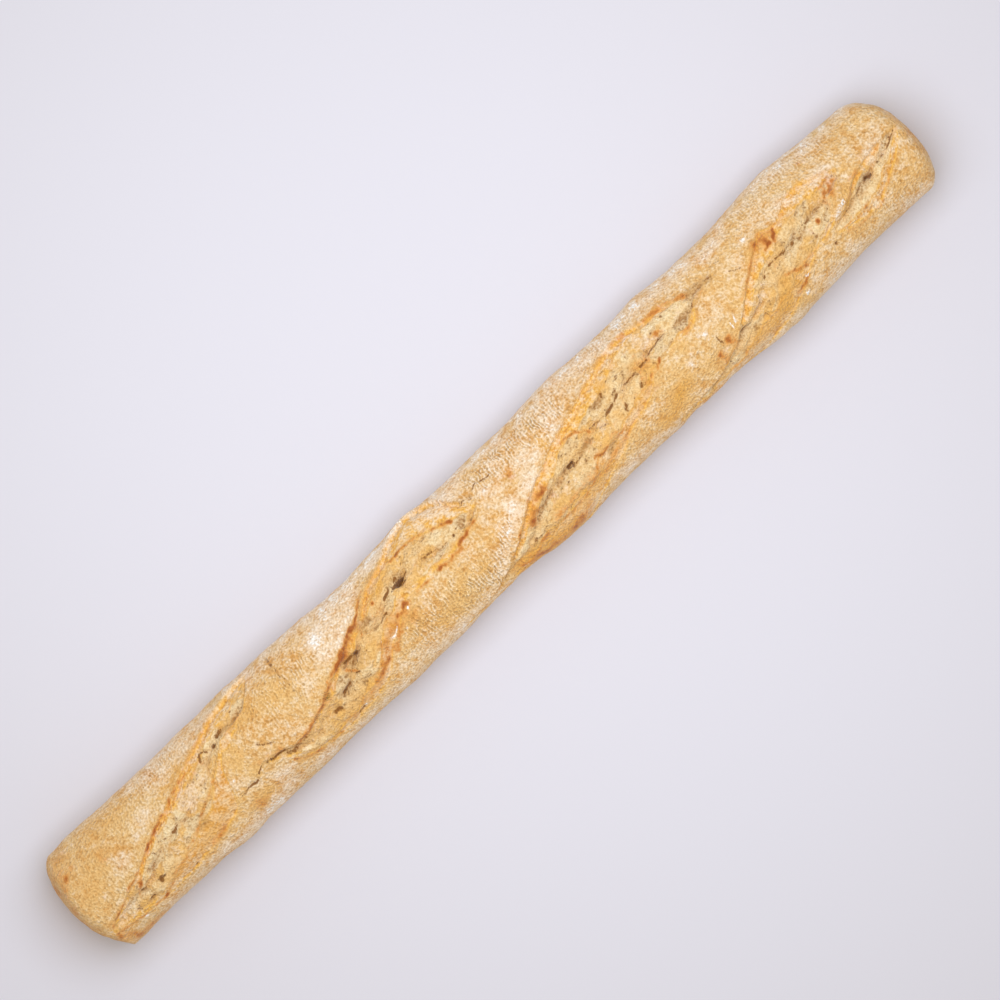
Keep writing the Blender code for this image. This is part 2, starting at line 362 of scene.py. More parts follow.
@dataclass
class Score:
    """One slanting cut, opened by the oven: its edges at listed stations.

    Each station is x, then the sideways place of the ear (the lifted edge of crust), the upper edge
    of the torn crumb, the seam, the crumb's lower edge and the heel, where the opening runs out.
    """

    # How each of those five edges wavers: wavelength and height of its layers
    WANDER = (
        ((9.0, 0.25), (3.2, 0.2)),
        ((7.0, 0.6), (2.6, 0.5)),
        ((8.0, 0.6), (2.4, 0.5)),
        ((7.0, 0.7), (2.8, 0.5)),
        ((8.0, 0.5), (3.0, 0.35)),
    )

    seed: int
    stations: tuple[tuple[float, ...], ...]
    lip_height: float = 1.2
    lip_spread: float = 4.0
    ear_wall: float = 1.5
    heel_step: float = 2.6
    sink: float = 1.0
    foot_depth: float = 0.8
    foot_spread: float = 2.0
    seam_depth: float = 1.6
    seam_spread: float = 1.5
    slit_spread: float = 0.6
    roll_height: float = 1.0
    rim_height: float = 0.35
    rim_spread: float = 0.8
    full_width: float = 11.0
    end_length: float = 5.0
    sheet_size: float = 6.0
    sheet_edge: float = 1.4
    crumb_fade: tuple[float, float] = (-0.4, 0.8)

    def edges(self, x: Array, section: Section) -> tuple[Array, ...]:
        """Follows the score's five lines.

        Args:
            x: places along the loaf.
            section: the loaf's section, which turns sideways places into distances around.

        Returns:
            How far around the ear, the upper edge, the seam, the lower edge and the heel lie at
            each x.
        """
        table = np.array(self.stations) * Loaf.SEEN
        lane = 0.37  # which line through the noise the edges follow
        line = np.column_stack((x, np.full(len(x), lane), np.zeros(len(x))))
        return tuple(
            curve_through(x, table[:, 0], section.around_at(table[:, n + 1]))
            + waves(line, layers, self.seed + 10 * n)
            for n, layers in enumerate(self.WANDER)
        )

    def presence(self, x: Array) -> Array:
        """Fades the score out at its ends.

        Args:
            x: places along the loaf.

        Returns:
            How far the score has begun at each x, from 0 outside its ends to 1 within them.
        """
        first, last = self.stations[0][0] * Loaf.SEEN, self.stations[-1][0] * Loaf.SEEN
        begun = smoothstep(-self.end_length, 0, x - first)
        return begun * smoothstep(-self.end_length, 0, last - x)

    def cut(self, skin: Skin, section: Section) -> None:
        """Presses the score into the crust and marks what it opened.

        Args:
            skin: the crust, whose relief and masks this changes.
            section: the loaf's section.
        """
        ear, upper, seam, lower, heel = self.edges(skin.x, section)
        around = skin.around
        ends = self.presence(skin.x)
        opening = smoothstep(0, self.full_width, ear - heel) * ends
        below_ear = ear - around
        wall = smoothstep(0, self.ear_wall, below_ear)
        inside = wall * smoothstep(0, self.heel_step, around - heel)
        torn = smoothstep(*self.crumb_fade, upper - around) * smoothstep(*self.crumb_fade, around - lower)
        torn *= smoothstep(0.5, 3.0, upper - lower)

        # The ear's lip, the step down from it, the broken groove of the seam and a roll on each side
        lip = self.lip_height * np.exp(-np.maximum(-below_ear, 0) / self.lip_spread)
        foot = self.foot_depth * ridge(below_ear - self.ear_wall, self.foot_spread)
        broken = 0.55 + 0.45 * soft_noise(skin.slanted(2.5), 3.0, self.seed + 70)
        groove = self.seam_depth * broken * ridge(around - seam, self.seam_spread)
        upper_roll = np.clip((around - seam) / np.maximum(ear - seam, 1), 0, 1)
        lower_roll = np.clip((seam - around) / np.maximum(seam - heel, 1), 0, 1)
        rolls = self.roll_height * np.sin(math.pi * (upper_roll + lower_roll))
        crumb = waves(skin.points * (0.5, 1, 1), Loaf.CRUMB_WAVES, seed=11)

        # The crumb tore in sheets at uneven heights: some fell in as pits, and some were gilded
        border, tone = torn_sheets(skin.slanted(1.7), self.sheet_size, self.seed + 80)
        step = (tone - 0.5) * smoothstep(0, self.sheet_edge, border)
        pits = smoothstep(0.82, 0.86, tone) * smoothstep(0.1, self.sheet_edge, border)
        gilded = smoothstep(0.42, 0.36, tone) * smoothstep(0, 1.2, border)
        fine = waves(skin.slanted(1.3), ((2.6, 0.36), (1.4, 0.26)), self.seed + 90)
        rims = ridge(around - upper, self.rim_spread) + ridge(around - lower, self.rim_spread)
        floor = rolls + crumb * (0.3 + 0.45 * torn) - self.sink - foot - groove * torn
        floor += torn * (0.85 * fine + 0.8 * step - 0.7 * pits - 0.2) + self.rim_height * rims
        skin.relief += opening * (lip * (1 - wall) + inside * floor)

        # New crust is deepest in colour towards the heel, and what stands proud is scorched in stretches
        scorched = np.clip(0.1 + 0.8 * soft_noise(skin.slanted(3.0), 5.0, self.seed + 100), 0, 1)
        edge = ridge(below_ear - self.rim_spread / 2, self.rim_spread)
        frayed = ridge(border, 0.6) * smoothstep(0.35, 0.7, 1 - np.abs(2 * tone - 1))
        deeper = 1 + 0.35 * smoothstep(0, 3, lower - around)
        skin.add(Mask.OPENED, inside * (1 - torn + 0.45 * torn * gilded) * ends * deeper)
        skin.add(Mask.TORN, inside * torn * (1 - 0.45 * gilded) * ends * (1 + 0.9 * step))
        scorch = 0.55 * edge * scorched + 0.45 * rims * inside * scorched + 0.3 * torn * frayed
        skin.add(Mask.BROWNED, opening * scorch)

        # Painted shade: grey-beige in pits, in the slit along the seam and in the lowest crumb, and darker
        # in the slit's gaps and in pores
        slit = ridge(around - seam, self.slit_spread)
        gaps = smoothstep(0.2, 0.7, soft_noise(skin.slanted(3.0), 3.4, self.seed + 110))
        pores = smoothstep(0.75, 1.1, soft_noise(skin.slanted(1.5), 1.8, self.seed + 120))
        low = smoothstep(0.1, 0.6, -fine)
        skin.add(Mask.PIT_SHADE, opening * torn * (0.5 * pits + 0.4 * slit + 0.35 * low))
        skin.add(Mask.DARK, opening * torn * (0.35 * slit * gaps + 0.5 * pores))


FIRST_SCORE = Score(
    seed=100,
    stations=(
        (-270, -17, -17.4, -18, -18.6, -19), (-258, -13, -14.5, -16.5, -20, -21.5),
        (-248, -8.5, -10, -15, -21, -22.8), (-240, -5.5, -7, -14, -21, -23.5),
        (-230, -1, -3, -9, -19, -24.2), (-220, 3.8, 0, -5.5, -16.5, -24.5),
        (-210, 8, 3.5, -3, -14, -23), (-200, 11.3, 6, -1.5, -9.5, -21.5),
        (-190, 15, 9, 3, -5.5, -19.5), (-182, 17.8, 12, 7.5, 1, -15), (-175, 20.3, 16, 13, 7, 2),
        (-165, 23.5, 19, 15.5, 11.5, 7), (-155, 25.5, 19.5, 16.5, 14, 12),
        (-145, 27.5, 25, 20, 18, 17), (-136, 28.5, 28.3, 28, 27.8, 27.5),
    ),
)
SECOND_SCORE = Score(
    seed=300,
    stations=(
        (-172, -13, -13.1, -13.2, -13.4, -13.6), (-158, -9, -9.3, -9.8, -10.5, -11),
        (-152, -9.5, -10.3, -11.5, -12.6, -13.5), (-146, -11, -12, -13, -15.5, -18),
        (-140, -12, -13.5, -15.5, -19.5, -22), (-130, -11, -12.5, -16, -21.5, -24),
        (-120, -8, -10, -14.5, -22.5, -25.5), (-110, -3, -6, -12.5, -22, -25.5),
        (-100, 0.8, -1.5, -8, -18, -24), (-90, 5.5, 1, -1.5, -15.5, -21.5),
        (-82, 8.8, 5.5, 2, -10, -18), (-75, 13, 8, 3, -4, -12), (-68, 18, 11.5, 5.5, -1, -8),
        (-60, 20.5, 15, 9.5, 3, -3), (-52, 23, 19.5, 9.8, 3.5, 0.5), (-45, 26, 20, 10, 3, 0),
        (-35, 29, 19, 9, 2.5, 0.5), (-25, 29.5, 17.5, 7.5, 3, 0.5), (-15, 27, 14, 8, 5, 2.5),
        (-7, 20, 12.5, 8.5, 7.5, 6), (1, 11.5, 11.3, 11, 10.8, 10.5),
    ),
)
THIRD_SCORE = Score(
    seed=500,
    stations=(
        (-46, -28.8, -28.9, -29, -29.5, -30), (-35, -28, -28.3, -28.6, -29, -31),
        (-20, -26, -26.5, -27, -28, -33), (-10, -22.5, -23.5, -25.5, -28.5, -35),
        (0, -17.5, -19.5, -23.5, -28, -37), (10, -10.8, -15, -19, -24, -38),
        (20, -4.5, -9.5, -12.8, -21, -38), (30, 0.5, -5.5, -10.3, -21.5, -36),
        (40, 4.5, -3, -8.3, -21, -31), (50, 9, 3, -7.5, -19, -27), (60, 11.5, 4, -4, -14, -24),
        (70, 14.5, 7, -0.7, -12, -20.5), (80, 18, 9, 0.8, -9.5, -16), (90, 20.5, 13, 3.5, -6, -12.5),
        (100, 22, 17, 4.8, -3, -8), (110, 22, 19.5, 8, 1, -1), (120, 19.5, 18, 9, 2, -0.5),
        (130, 19, 17.5, 8.2, 3, 1), (138, 17, 15.5, 9, 5.5, 3), (144, 15.5, 14.8, 12.8, 10.5, 9),
        (152, 15, 14.2, 13, 12.2, 11.5), (162, 13.6, 13.5, 13.4, 13.2, 13),
    ),
)
FOURTH_SCORE = Score(
    seed=700,
    stations=(
        (104, -27.5, -28, -29, -30, -32), (120, -25.5, -27, -28, -29, -34),
        (132, -23.5, -24.5, -26, -28, -35), (142, -19.5, -20.5, -22, -27, -35),
        (150, -14.5, -16, -17.8, -24, -34), (158, -8.5, -12, -15.5, -21, -31),
        (165, -3, -8, -13, -19, -28), (172, 2, -3, -8, -18.5, -26), (180, 7.5, 0.5, -3.5, -17, -23.5),
        (188, 12.5, 2, -2.3, -14, -20.5), (195, 10.5, 6, -3, -13, -18), (203, 12.5, 7, -2.3, -11, -14),
        (212, 15.5, 8, 1, -9, -12), (220, 15.5, 8, 2, -6, -9), (228, 13, 9, 5, 2, 0),
        (238, 9, 8, 6.5, 6, 5.5),
    ),
)
FIFTH_SCORE = Score(
    seed=900,
    stations=(
        (218, -10.5, -11, -12, -14, -15), (226, -8, -8.5, -10, -14, -17.5),
        (234, -3, -4.5, -7, -14, -18.5), (242, 1.5, -2, -5.5, -13, -18),
        (250, 3.5, 0.5, -2.5, -9, -14), (258, 5, 2, -0.8, -5, -9), (265, 6, 4.5, 2.8, 0, -4.5),
        (273, 6.5, 6, 5.5, 4.5, 4),
    ),
)

# Small traces, each a width, a strength and the places it runs through, as x and sideways.
# One place makes a spot, and a strength below zero takes away from the mask.
TRACES: dict[Trace, tuple[tuple, ...]] = {
    Trace.SCORCH: (
        # The first scorch runs just under the first ear's edge: real browning, and painted shadow under its
        # lip
        (1.6, 1.0, (-235, -3.7), (-224, 1.6), (-212, 6.2)), (1.4, 0.8, (-212, 6.2), (-190, 13.9)),
        (1.3, 0.3, (-190, 13.9), (-165, 22.8)), (2.2, 0.8, (-266, -16.6), (-255.7, -11.8)),
        (1.4, 0.8, (-248.4, -8.1), (-238.8, -5.2)),
        (1.2, 0.8, (-267, -19.9), (-250.6, -22.1), (-236, -22.8)),
        (1.8, 0.5, (-236, -22.8), (-227, -17.7), (-209.4, -13.3), (-199.9, -8.1), (-182.2, 1.4)),
        (7.0, 0.65, (-245.4, 11.7)), (3.0, 0.6, (-266, 15.6), (-262, 17.4)), (7.0, 0.85, (-173.4, -22.1)),
        (4.0, 0.65, (-203, -21), (-194, -18.8)), (7.0, 0.6, (-266, -22), (-260, -28.5), (-243, -29.5)),
        (3.5, 1.1, (-241.8, -10.3)), (9.0, 0.4, (-271, 14), (-264, 24)),
        (1.5, 0.6, (-246, -14.8), (-239, -8)),
        (2.4, 0.9, (-141.3, -13.3), (-131, -11.8), (-118.5, -8.1), (-109.7, -2.2), (-100.9, 0.7)),
        (3.0, 0.9, (-100.9, 0.7), (-90.6, 5.9), (-78.8, 11)), (1.6, 0.6, (-78.8, 11), (-68.5, 19.1)),
        (2.0, 0.8, (-147.2, -17.7), (-142, -21.4), (-130.3, -23.6), (-122.2, -25)),
        (5.0, 0.4, (-112, -23), (-98, -19)), (2.4, 0.45, (-89, -16.2), (-78.8, -11)),
        (2.0, 0.75, (-63.4, -2.2), (-55, 0)), (2.2, 1.3, (-68.5, 11)),
        (1.2, 0.8, (-99.4, -3.7), (-95.7, -8.1)), (4.0, 0.4, (-160, -7.5), (-148, -9.5)),
        (1.6, 0.6, (-54, 20.2), (-34.3, 19.1), (-26.2, 18.7)), (2.2, 0.7, (-24, 16.9), (-14.4, 13.9)),
        (1.6, 1.0, (-49, 0.7), (-38.7, -0.8)), (2.4, 1.0, (-34, 1.2), (-27, 0), (-19, 0.6)),
        (2.6, 0.85, (-18, 2.6), (-6, 6.6)), (4.0, 0.9, (-56.3, 0.4)),
        (5.0, 0.6, (-92, -18), (-84, -14), (-76, -9)), (8.0, 0.7, (22.4, 10.6)),
        (1.0, 0.7, (-18.8, -26.5), (-5.6, -20.6), (6.2, -13.3), (13.5, -8.1), (22.4, -3)),
        (5.0, 0.75, (14, -13), (22, -8), (30, -5)), (1.4, 0.3, (31, -0.8), (40, 2.6)),
        (3.0, 0.6, (12, -23), (16, -22.5)), (1.4, 0.6, (25.3, -22), (41.5, -22), (54.7, -18.4)),
        (9.0, 0.75, (-4, -27), (16, -28.5), (38, -27)),
        (1.4, 0.55, (50, 4.6), (58.8, 3.6), (62.5, 0.7), (64, -1.5)),
        (1.4, 0.35, (83, 18.7), (94, 21.3), (107.4, 22)),
        (1.8, 0.45, (114.7, 21.3), (120.6, 18.4), (130.9, 19.1), (141.9, 15.4)),
        (3.0, 0.7, (119, 11.6), (121, 10.4)), (1.2, 0.7, (57.4, -12.9), (72, -12.5), (79.4, -11)),
        (3.0, 0.5, (50, -18.4), (58, -20.6)), (3.0, 0.35, (93, -9.2)),
        (1.8, 0.9, (103, -3), (108, -1.6), (113, 1.4)), (2.0, 0.5, (130, 1.4), (139, 3)),
        (2.2, 0.35, (141.5, 4.5), (143, 8.5), (152, 12)), (4.5, 1.1, (142.4, -14.6), (144.4, -15.8)),
        (4.0, 0.75, (135.6, -17.6), (136.4, -20)),
        (2.0, 0.35, (160, -5.2), (169.6, 0), (178.4, 7.3), (184.3, 11.7)),
        (6.0, 0.75, (184.5, 8.5), (191.5, 6.5)), (1.8, 0.8, (185, 4.2), (191, 5.2), (194.5, 8)),
        (1.4, 0.4, (194, 8.8), (205.6, 11)), (1.2, 0.2, (206.3, 14.7), (219.6, 15.4)),
        (6.5, 0.9, (224, 2.2), (229.5, 6.6)), (4.0, 0.6, (235, -1.6), (242, 2)), (3.0, 1.1, (213.7, -3)),
        (1.6, 0.8, (184.3, -10.3), (195.3, -14.7)), (3.0, 0.65, (195.5, -13.6), (196.6, -15.4)),
        (1.8, 1.0, (184, -20.4), (193, -18)), (1.2, 0.3, (196.8, -12.5), (208.5, -12.2), (215.9, -8.1)),
        (2.0, 0.4, (221, -16.2), (229, -18.4), (240.9, -18.4), (254, -11)),
        (2.6, 0.3, (249, 6.2), (253, 8.4)), (2.0, 0.6, (234.5, -14), (237, -13.6)),
        (5.0, 0.5, (226.6, 22)), (3.0, 0.5, (60, -18.6), (75, -15.2), (92, -9.5)),
        (3.5, 0.85, (-75, -13), (-66, -6.5)), (6.0, 0.5, (-96, 1), (-84, 6)),
        (8.0, 0.45, (106, 5), (100, -6)), (12.0, 0.45, (-66, -2), (-58, -6)),
    ),
    Trace.PORE: (
        (2.0, 0.9, (-243, -19.5), (-240.6, -19.3)), (1.8, 0.9, (-233, -15.4), (-230, -14.8)),
        (2.0, 1.1, (-242.5, -14)), (2.0, 0.9, (-166.6, 16), (-163.8, 17.6)), (2.2, 1.3, (-171, 14.3)),
        (1.8, 0.35, (-184.5, -1.6), (-182.5, 0.6)), (1.6, 1.1, (-215.7, -22.6)),
        (1.9, 1.0, (-154.6, -11), (-147.5, -11.4)), (1.9, 0.8, (-146.8, -14.2), (-142.8, -15.2)),
        (1.4, 0.6, (-170, -12.8), (-166.3, -12.9)), (1.7, 1.2, (-97.2, -0.6), (-93.5, -0.3)),
        (2.0, 1.3, (-91.4, -0.6), (-89.6, -1)), (2.2, 0.8, (-108.4, -12.4), (-102.8, -10.6)),
        (1.6, 1.1, (-97.2, -8.2), (-96, -9)), (2.4, 1.0, (-117.4, -15), (-114.6, -15.6)),
        (1.9, 0.8, (-108, -23.7), (-105, -23.1)), (1.8, 1.3, (-56, 9.4), (-52.4, 9.2)),
        (2.3, 1.8, (-53.2, 9.8), (-50.6, 10.6)), (1.4, 0.8, (-49.6, 11), (-46.6, 11.4)),
        (1.2, 1.1, (-51.6, 7.6), (-49, 8.4)), (1.1, 1.0, (-54.6, 11.8), (-52.6, 12.6)),
        (1.5, 0.5, (-58.8, 12.8), (-56.6, 11.2)), (1.4, 0.8, (-61.4, 9.4)),
        (1.9, 1.5, (44.6, -8), (47.2, -7.6)), (1.5, 0.9, (35.6, -12.2)), (1.7, 1.1, (40.5, -12.6)),
        (2.2, 0.7, (50, -8.2), (53, -7.2)), (1.8, 0.9, (79.8, 6.4), (80.4, 8.6)),
        (2.4, 0.9, (84.4, -6.4), (86, -4.4)), (1.6, 1.1, (96.4, -2.7), (97.6, -1.8)),
        (2.0, 0.45, (108.6, 10.4), (110.6, 8.2)), (2.2, 0.45, (149.2, -17.4), (153.6, -16.6)),
        (1.8, 0.4, (162.6, -13.8), (164.2, -13.2)), (1.7, 0.8, (175.4, -4.8), (177, -4)),
        (2.0, 0.6, (196.8, -2.2), (200, -0.2)), (1.4, 0.5, (200.6, -2), (201.6, -2.6)),
        (2.2, 1.0, (244.3, -5), (247.2, -4.6)), (1.9, 0.45, (256.8, -1), (258.8, -0.2)),
        (1.6, 1.0, (212.6, -17.3)), (1.8, 0.45, (221, -9.8), (223.4, -10.8), (226, -9.8)),
        (1.7, 1.3, (-18, 7.2)), (1.5, 0.8, (140.6, 8.6), (142, 9.8)),
    ),
    Trace.CRACK: (
        (1.1, 0.45, (-213.8, -3), (-209.4, -2.8)), (1.1, 0.35, (-204, -2.4), (-201, -1.2), (-197.6, 0.4)),
        (1.7, 0.95, (-180.4, 12.4), (-178.8, 14.6), (-176.4, 14.6), (-174.6, 13.8)),
        (1.0, 0.8, (-177, -13.7), (-172, -12.6), (-166.6, -13.4)),
        (1.2, 0.8, (-164.5, -11.1), (-159.5, -9.4), (-154.6, -10)),
        (1.4, 0.6, (-141, -14.4), (-133, -13.8)), (1.3, 0.9, (-155, -0.8), (-153, -3), (-148.7, -4.8)),
        (1.5, 0.7, (-124.6, 28.6), (-124.4, 23)), (1.2, 0.55, (-124.4, 23), (-124.6, 13), (-124.2, 2.2)),
        (1.4, 1.2, (-63.4, 9), (-59, 10.8)), (1.2, 0.7, (-76.6, 1.4), (-70, 2), (-66.3, 2.2)),
        (1.2, 0.6, (-35, 9.4), (-31, 8.8), (-27.6, 9.2)), (1.1, 0.85, (-25.6, 7.4), (-22.6, 7.2)),
        (1.0, 0.9, (-7, 16.9), (-2.6, 16.5)), (1.0, 1.0, (4, 18.8), (9, 18.9), (15, 18.2)),
        (0.8, 0.6, (-18.8, -26.8), (-5.6, -21), (6.2, -13.8), (13.5, -8.7)),
        (1.1, 0.8, (65.4, -0.8), (68, -0.2), (72, -0.6)), (1.1, 0.8, (73.5, -0.4), (77.6, 0.1), (81, 1)),
        (1.3, 0.7, (82, 1.2), (86, 2.8), (90, 3.2)), (1.2, 1.0, (92, 4.2), (98, 4.6)),
        (1.4, 1.1, (103.7, 5), (107.3, 5.4)), (1.0, 0.9, (110.4, 7.4), (116, 7.8), (123, 9.2)),
        (1.5, 0.2, (127, 7.4), (131.4, 8.6)), (1.2, 0.3, (143, 16.2), (149, 15.8), (156, 13.8)),
        (1.1, 0.7, (154, 13.4), (160, 13.2)), (1.0, 0.9, (85.5, 15.6), (89, 16.2)),
        (1.1, 0.8, (139.4, -9.8), (139.2, -15.6)), (1.1, 0.7, (160, 16.6), (167.4, 15.8)),
        (0.9, 0.8, (165.5, 8.8), (171, 6.2)), (1.2, 0.9, (179, -3.6), (184, -2.4)),
        (1.1, 0.75, (185.7, -1.8), (190, -2.2), (195.3, -2.4)),
        (1.4, 0.6, (203.4, -0.8), (207, 0.8), (210, 1)), (0.9, 0.7, (232.6, 8.6), (236.5, 6)),
        (1.1, 0.8, (261.5, 0.2), (265, 1.8), (269.6, 4.4)), (1.0, 0.45, (232, -6.6), (240, -5.2)),
        (0.9, 0.6, (270, 4.4), (273, 4.2)),
    ),
    Trace.PIT: (
        (4.5, 1.2, (-202, -11.2), (-198.6, -10.8)), (4.0, 0.6, (-184, 10.2), (-178, 10.6)),
        (6.0, 0.6, (-160.4, 14.7), (-155, 15.4)), (7.0, 0.7, (-99, -5.6), (-91, -4.4)),
        (5.0, 1.1, (-81, 6.2), (-75, 7.4)), (4.0, 1.0, (-98, -0.8), (-88, -0.8)),
        (5.0, 0.9, (-56, 13.4), (-50, 12.8)), (4.5, 0.4, (-12, 9.8), (-5, 9.9)),
        (3.0, 0.7, (12.5, -16), (19, -14.6)), (3.4, 0.8, (21, -12.4), (31, -10.4)),
        (3.0, 0.8, (36, -9.6), (42, -8)), (3.2, 1.3, (53.5, -5.8), (61, -4.8)),
        (3.6, 1.2, (65, -15.6), (69, -13.8)), (3.0, 1.2, (73, 6), (78, 6.4)),
        (3.4, 0.6, (142.5, 9), (148.5, 13)), (4.4, 1.1, (143.5, 14.6), (149, 14.4), (156, 13.2)),
        (3.6, 0.6, (130, 8.4), (139, 9)), (4.0, 0.7, (210, 1.4), (219, 2.4)),
        (4.0, 0.7, (229.6, 7.4), (234, 9)), (4.5, 0.4, (244, -3.6), (248, -2.6)),
        (3.4, 0.7, (203.6, -8.2), (208, -8)), (4.0, 0.5, (-222, -9), (-214, -6)),
        (4.0, 0.5, (-254, -15), (-246, -12)), (3.0, 0.3, (118, 4), (140, 6)),
        (3.0, 0.6, (-142, -15), (-131, -15)), (4.0, 0.5, (95, 8), (110, 10)),
        (3.0, 0.5, (130, 8), (138, 8.5)), (3.0, 1.2, (0.3, 16.5)), (5.0, 0.6, (202, 0), (206, -3)),
        (5.0, 0.5, (228, -9), (236, -8)),
    ),
    Trace.BLISTER: (
        (3.4, 0.5, (24, -19.2), (40, -18), (56, -16.6)), (3.0, 0.4, (58, -12.6), (74, -9.8)),
        (3.0, 0.5, (-80, -7), (-67, -4)), (3.4, 0.3, (184, 9.4), (192, 9.6)),
        (3.2, 0.4, (50.5, 4.4), (57, 3.4), (63, -0.4)),
    ),
    Trace.DUST: (
        (8, 1.0, (-241.5, 3), (-239, 2.6)), (8, 0.8, (-221, 10.6), (-217, 12)),
        (4, 0.7, (-228.6, 5.2), (-227, 8)), (10, 0.2, (-250.6, 0.7)),
        (16, 0.45, (-222, 20), (-195, 22), (-168, 27)), (8, 0.5, (-205, 13.5), (-172, 24)),
        (9, 0.7, (-240, -28), (-200, -27.5), (-170, -28)), (7, 0.5, (-180, -6.5), (-172, -8)),
        (10, 0.35, (-140, 8), (-118, 16)), (14, 1.0, (-102, 15.8), (-86, 22), (-66, 29)),
        (9, 0.9, (-100, 6), (-84, 13), (-72, 20)), (7, 1.0, (-101.6, 15.8)),
        (9, 0.6, (-118, 2), (-106, 8)), (10, 0.5, (-166, -24), (-148, -26)),
        (9, 0.8, (-138, -27.5), (-110, -29), (-86, -26)), (12, 0.45, (-76, -20), (-58, -24), (-36, -27)),
        (6, 1.1, (-58, 25), (-52, 28)), (5, 0.9, (-38, 28.3), (-34, 28.8)),
        (9, 0.9, (-12, -19), (0, -9), (12, -2)), (9, 0.7, (14, -1), (26, 4), (40, 9)),
        (12, 0.6, (20, 22), (34, 12), (52, 16)), (7, 0.4, (2.5, -8.1)), (4, 1.4, (6.4, 14), (8, 13.8)),
        (9, 0.5, (48, 13), (58, 17)), (11, 0.85, (80, 26), (98, 28)), (8, 0.4, (110, 27), (150, 26)),
        (9, 0.7, (52, -25), (72, -27), (98, -27)), (9, 0.2, (94, -16), (106, -12)),
        (5, 0.6, (122, -11), (126, -8)), (8, 1.0, (162, 22), (174, 23.6)), (5, 1.0, (217, -21)),
        (5, 0.4, (249, 17.6)), (12, 0.35, (200, 24), (240, 24)), (4, 0.5, (268, -4)),
        (9, 0.15, (-262, 6), (-258, -4)), (5, 0.4, (-41, 14), (-36, 17)),
        (2.6, 0.6, (70, -15.4), (72, -14.4)), (12, 0.9, (54, 24), (72, 21)), (9, 0.6, (32, 24), (38, 20)),
        (11, 0.7, (154, 24), (166, 22)), (11, 0.5, (218, -24), (232, -23)),
        (9, 0.6, (-142, -26), (-134, -25)), (9, 0.6, (-210, -24), (-200, -24)),
        (10, 0.4, (-50, -8), (-40, -6)), (6, 0.5, (53, 12)),
    ),
    Trace.CLOD: (
        (1.6, 1.3, (133.8, -4)), (1.7, 1.5, (136, -4.8), (137.2, -5.2)), (1.8, 0.7, (136, -8)),
        (1.4, 1.2, (151.8, -11), (152.6, -8)), (1.4, 1.0, (148.8, -9.4), (149.2, -12.6)),
        (2.4, 0.5, (97.5, -15.9), (101.5, -15.6)), (1.8, 1.3, (179.8, 15.2), (181.2, 14.2)),
        (1.6, 1.7, (191, -17.4), (193, -17.6)), (1.5, 1.5, (186, -23), (187.4, -23.2)),
        (4.0, 0.8, (221.5, -7), (228, -4.4)), (1.4, 1.2, (-78, -5.2), (-72.2, -7.4), (-67, -5.2)),
        (1.6, 1.7, (-57, -2)), (1.6, 1.6, (-250.6, -23)), (2.2, 1.0, (-3.6, -27.2), (-0.6, -27)),
        (1.5, 1.8, (-103.6, -22.4)), (2.6, 0.6, (-37, 28.6), (-33, 28.8)), (1.6, 0.7, (-53.6, 28.4)),
        (1.6, 0.6, (-126, 27)), (1.6, 0.6, (-238, 5)), (1.3, 1.2, (128, -10)), (1.2, 1.1, (124.6, -7.4)),
        (1.3, 1.1, (122, -11.6)), (1.2, 1.1, (-182, -3.4)), (1.3, 1.1, (-176, -5.6)),
        (1.2, 1.2, (-64, -9.4)), (1.2, 1.1, (-61, -12)),
    ),
    Trace.WRINKLE: (
        (24, 1.0, (-58, -14), (-18, -18)), (20, 1.0, (10, 20), (56, 20)),
        (20, 0.7, (-142, 10), (-112, 14)), (14, 0.6, (86, 26), (116, 27)), (16, 0.6, (186, 24), (236, 24)),
        (12, 0.6, (-232, 20), (-190, 26)), (8, 0.7, (-18, -18), (6, -6)),
        (12, 0.5, (244, -18), (258, -24)),
    ),
    Trace.BARE: (
        (11, 0.6, (-230, -18), (-224, -16)), (11, 0.6, (-210, -18), (-202, -17)),
        (14, 0.5, (-196, -13), (-184, -13)), (11, 0.6, (-171, -22), (-165, -21)),
        (9, 0.4, (-169, -2), (-166, 6)), (12, 0.5, (-136, 11), (-130, 10)),
        (14, 0.7, (-112, -20), (-98, -17)), (10, 0.5, (-83, 2), (-78, -2)),
        (13, 0.6, (-65, -2), (-60, -6)), (10, 0.6, (-70, 12), (-56, 16)),
        (13, 0.5, (-50, -20), (-38, -19)), (8, 0.4, (-32, -13), (-27, -10)), (8, 0.5, (-17, -14)),
        (9, 0.4, (-3, -7), (4, -3)), (9, 0.5, (-38, 17), (-30, 16)), (14, 1.3, (0, -27), (28, -28)),
        (8, 0.7, (44, 11)), (10, 0.7, (40, -23), (50, -22)), (9, 0.8, (56, -20), (60, -20)),
        (9, 0.4, (40, -5), (56, -2)), (9, 0.8, (83, 9)), (8, 0.7, (80, -6)), (12, 0.5, (92, -6), (98, -3)),
        (12, 0.7, (96, -24), (106, -22)), (10, 0.7, (108, -18), (114, -16)), (9, 0.8, (102, 6), (106, 2)),
        (7, 0.5, (125, -1)), (9, 0.35, (158, -4), (166, 3)), (8, 0.5, (149, -12)),
        (12, 0.6, (148, -25), (162, -23)), (12, 0.9, (176, -20), (182, -12)),
        (11, 0.6, (168, -22), (174, -20)), (10, 0.5, (188, -18), (194, -12)), (8, 0.6, (178, 6), (188, 8)),
        (7, 0.6, (203, 6)), (9, 0.5, (226, -6), (231, -3)), (12, 0.25, (254, -17), (264, -15)),
        (9, -0.5, (-200, 5), (-186, 5)), (7, -0.7, (-197, 0)), (7, -0.5, (-218, -9)),
        (11, -0.8, (-24, 26), (-12, 21)), (10, -0.4, (-56, 24), (-44, 27)),
        (7, -0.6, (-160, -19), (-150, -19)), (8, -0.5, (112, 12), (118, 11)),
        (9, -0.5, (100, 21), (110, 18)), (9, -0.3, (84, 24), (96, 25)), (7, -0.4, (162, -14), (174, -8)),
